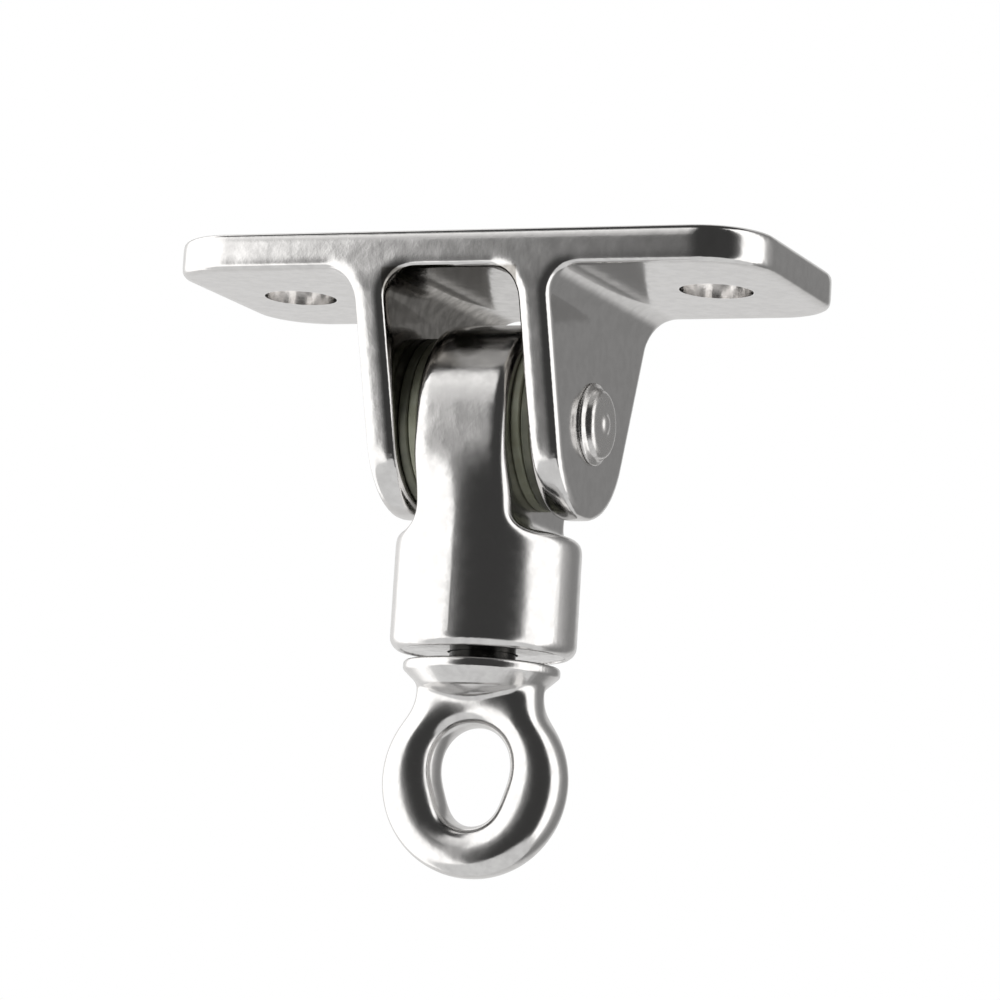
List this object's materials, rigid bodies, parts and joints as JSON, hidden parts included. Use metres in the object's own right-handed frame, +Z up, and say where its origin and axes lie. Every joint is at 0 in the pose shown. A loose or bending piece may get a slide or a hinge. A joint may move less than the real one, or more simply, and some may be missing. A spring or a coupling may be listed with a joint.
{
  "type": "swivel ceiling hook",
  "caption": "Ceiling hanger: flat plate with a clevis, a pinned housing that swings between its cheeks, and a ball-bearing swivel eye below for a rope, chain or carabiner.",
  "frame": {"origin": "centre of the plate's top face, the face that meets the ceiling", "axes": "+Z up into the ceiling, +X along the plate and the pivot pin, +Y across the plate in the direction the eye swings"},
  "size_m": [0.085, 0.04, 0.0846],
  "materials": {
    "stainless_steel": "cast and polished to a satin shine",
    "nylon": "smooth moulded olive grey nylon",
    "bearing_steel": "ground and polished",
    "cage_brass": "pressed"
  },
  "bodies": {
    "bracket": {"mounting_bracket": "stainless_steel", "pivot_pin": "stainless_steel", "left_cheek_washer": "nylon", "right_cheek_washer": "nylon"},
    "housing": {"swivel_housing": "stainless_steel", "left_tongue_bush": "nylon", "right_tongue_bush": "nylon", "bearing_retainer": "stainless_steel", "lower_bearing_race": "bearing_steel"},
    "eye": {"swivel_eye": "stainless_steel", "upper_bearing_race": "bearing_steel", "shank_nut": "stainless_steel"},
    "ball_set": {"bearing_cage": "cage_brass", "bearing_balls": "bearing_steel"}
  },
  "joints": [
    {"name": "housing_swing", "type": "hinge", "parent": "bracket", "child": "housing", "pos_m": [0, 0, -0.023], "axis": [1, 0, 0], "range_deg": [-80, 80]},
    {"name": "eye_spin", "type": "hinge", "parent": "housing", "child": "eye", "pos_m": [0, 0, -0.0709], "axis": [0, 0, 1], "continuous": true},
    {"name": "ball_set_spin", "type": "hinge", "parent": "housing", "child": "ball_set", "pos_m": [0, 0, -0.0477], "axis": [0, 0, 1], "continuous": true}
  ],
  "couplings": [
    {"joint": "ball_set_spin", "follows": "eye_spin", "ratio": 0.5}
  ]
}
